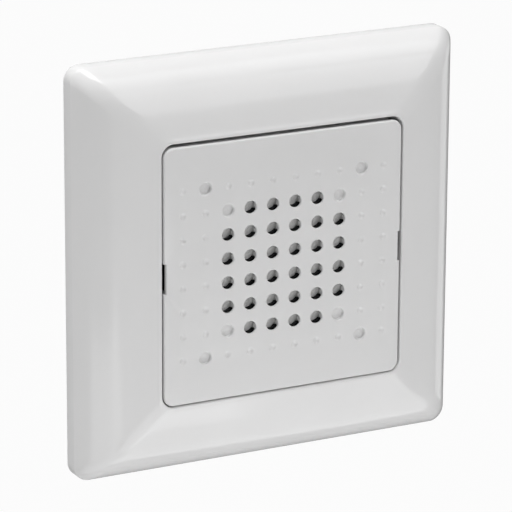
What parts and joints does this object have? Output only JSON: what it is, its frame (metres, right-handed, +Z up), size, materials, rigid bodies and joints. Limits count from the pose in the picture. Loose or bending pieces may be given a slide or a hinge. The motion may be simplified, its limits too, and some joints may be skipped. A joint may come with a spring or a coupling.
{
  "type": "electric buzzer",
  "caption": "Flush wall buzzer: sloping glossy cover frame, perforated centre plate, and behind them a support ring, magnet cup, armature and claws.",
  "frame": {"origin": "centre of the two box slots, in the wall plane behind the support ring", "axes": "+X right as seen from the front, +Y into the wall, +Z up"},
  "size_m": [0.08, 0.0347, 0.08],
  "materials": {
    "white_gloss": "gloss",
    "white_satin": "satin",
    "felt": "matt",
    "sheet_steel": "satin",
    "zinc": "satin",
    "housing": "matt",
    "bobbin": "matt",
    "copper": "gloss",
    "brass": "satin",
    "spring": "bright",
    "lead": "satin"
  },
  "bodies": {
    "base": {"support_ring": "zinc", "front_housing": "housing", "rear_housing": "housing", "sounding_plate": "sheet_steel", "sounding_plate_screws": "zinc", "housing_screws": "zinc", "magnet_yoke": "zinc", "magnet_core": "sheet_steel", "coil_bobbin": "bobbin", "coil_winding": "copper", "core_screw": "zinc", "spring_screws": "zinc", "adjusting_nut": "brass", "terminal_block": "bobbin", "terminal_clamp_left": "brass", "terminal_clamp_right": "brass", "lead_left": "lead", "lead_right": "lead"},
    "frame": {"cover_frame": "white_gloss"},
    "plate": {"centre_plate": "white_satin", "sound_felt": "felt"},
    "armature": {"armature": "sheet_steel", "striker": "brass", "spring_rivets": "brass", "armature_spring": "spring"},
    "adjuster": {"adjusting_screw": "brass"},
    "terminal_screw_left": {"terminal_screw_left": "zinc"},
    "claw_screw_left": {"claw_screw_left": "zinc"},
    "claw_left": {"claw_left": "zinc"},
    "terminal_screw_right": {"terminal_screw_right": "zinc"},
    "claw_screw_right": {"claw_screw_right": "zinc"},
    "claw_right": {"claw_right": "zinc"}
  },
  "joints": [
    {"name": "frame_pull", "type": "slide", "parent": "base", "child": "frame", "axis": [0, -1, 0], "range_m": [0, 0.03]},
    {"name": "plate_pull", "type": "slide", "parent": "base", "child": "plate", "axis": [0, -1, 0], "range_m": [0, 0.03]},
    {"name": "armature_swing", "type": "hinge", "parent": "base", "child": "armature", "pos_m": [0, 0.0009, 0.0109], "axis": [1, 0, 0], "range_deg": [-1.3, 1.3], "stiffness_Nm_per_rad": 0.1, "deforming": ["armature_spring"]},
    {"name": "adjuster_turn", "type": "hinge", "parent": "base", "child": "adjuster", "pos_m": [0, 0.0208, 0.0153], "axis": [0, 1, 0], "range_deg": [-360, 360]},
    {"name": "terminal_turn_left", "type": "hinge", "parent": "base", "child": "terminal_screw_left", "pos_m": [-0.0042, 0.014, -0.0195], "axis": [0, 0, -1], "range_deg": [0, 1080]},
    {"name": "claw_turn_left", "type": "hinge", "parent": "base", "child": "claw_screw_left", "pos_m": [-0.027, 0, 0], "axis": [0, 1, 0], "range_deg": [0, 1800]},
    {"name": "claw_swing_left", "type": "hinge", "parent": "base", "child": "claw_left", "pos_m": [-0.0239, 0.0014, 0], "axis": [0, 0, 1], "range_deg": [0, 25]},
    {"name": "terminal_turn_right", "type": "hinge", "parent": "base", "child": "terminal_screw_right", "pos_m": [0.0042, 0.014, -0.0195], "axis": [0, 0, -1], "range_deg": [0, 1080]},
    {"name": "claw_turn_right", "type": "hinge", "parent": "base", "child": "claw_screw_right", "pos_m": [0.027, 0, 0], "axis": [0, 1, 0], "range_deg": [0, 1800]},
    {"name": "claw_swing_right", "type": "hinge", "parent": "base", "child": "claw_right", "pos_m": [0.0239, 0.0014, 0], "axis": [0, 0, -1], "range_deg": [0, 25]}
  ],
  "couplings": [
    {"joint": "claw_swing_left", "follows": "claw_turn_left", "ratio": 0.013889},
    {"joint": "claw_swing_right", "follows": "claw_turn_right", "ratio": 0.013889}
  ]
}
